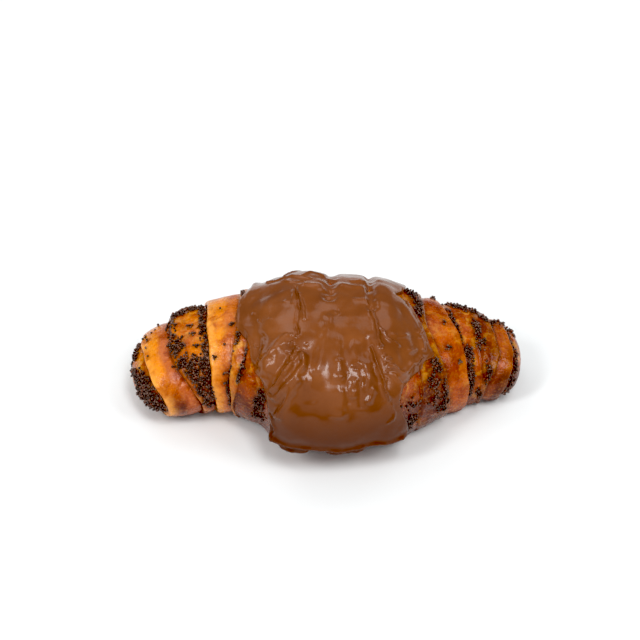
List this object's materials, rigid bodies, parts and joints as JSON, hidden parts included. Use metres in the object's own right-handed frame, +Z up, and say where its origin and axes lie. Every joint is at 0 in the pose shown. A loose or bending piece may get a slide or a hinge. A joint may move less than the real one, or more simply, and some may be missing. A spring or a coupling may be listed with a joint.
{
  "type": "poppy seed bun",
  "caption": "Rolled sweet yeast bun, a gentle crescent of overlapping egg-washed turns strewn with poppy seeds, its middle dipped in milk chocolate.",
  "frame": {"origin": "middle of the footprint, on the flat underside", "axes": "+X along the bun, +Z up, -Y towards the bulging front of the crescent"},
  "size_m": [0.166, 0.0878, 0.0582],
  "materials": {
    "crust": "egg-washed baked crust, satin, golden orange browning to red-brown",
    "chocolate": "set milk chocolate, glossy, wrinkled over the folds",
    "poppy_seed": "blue-black poppy seeds with small glints"
  },
  "bodies": {
    "root": {"dough": "crust", "chocolate_coating": "chocolate"}
  },
  "joints": []
}
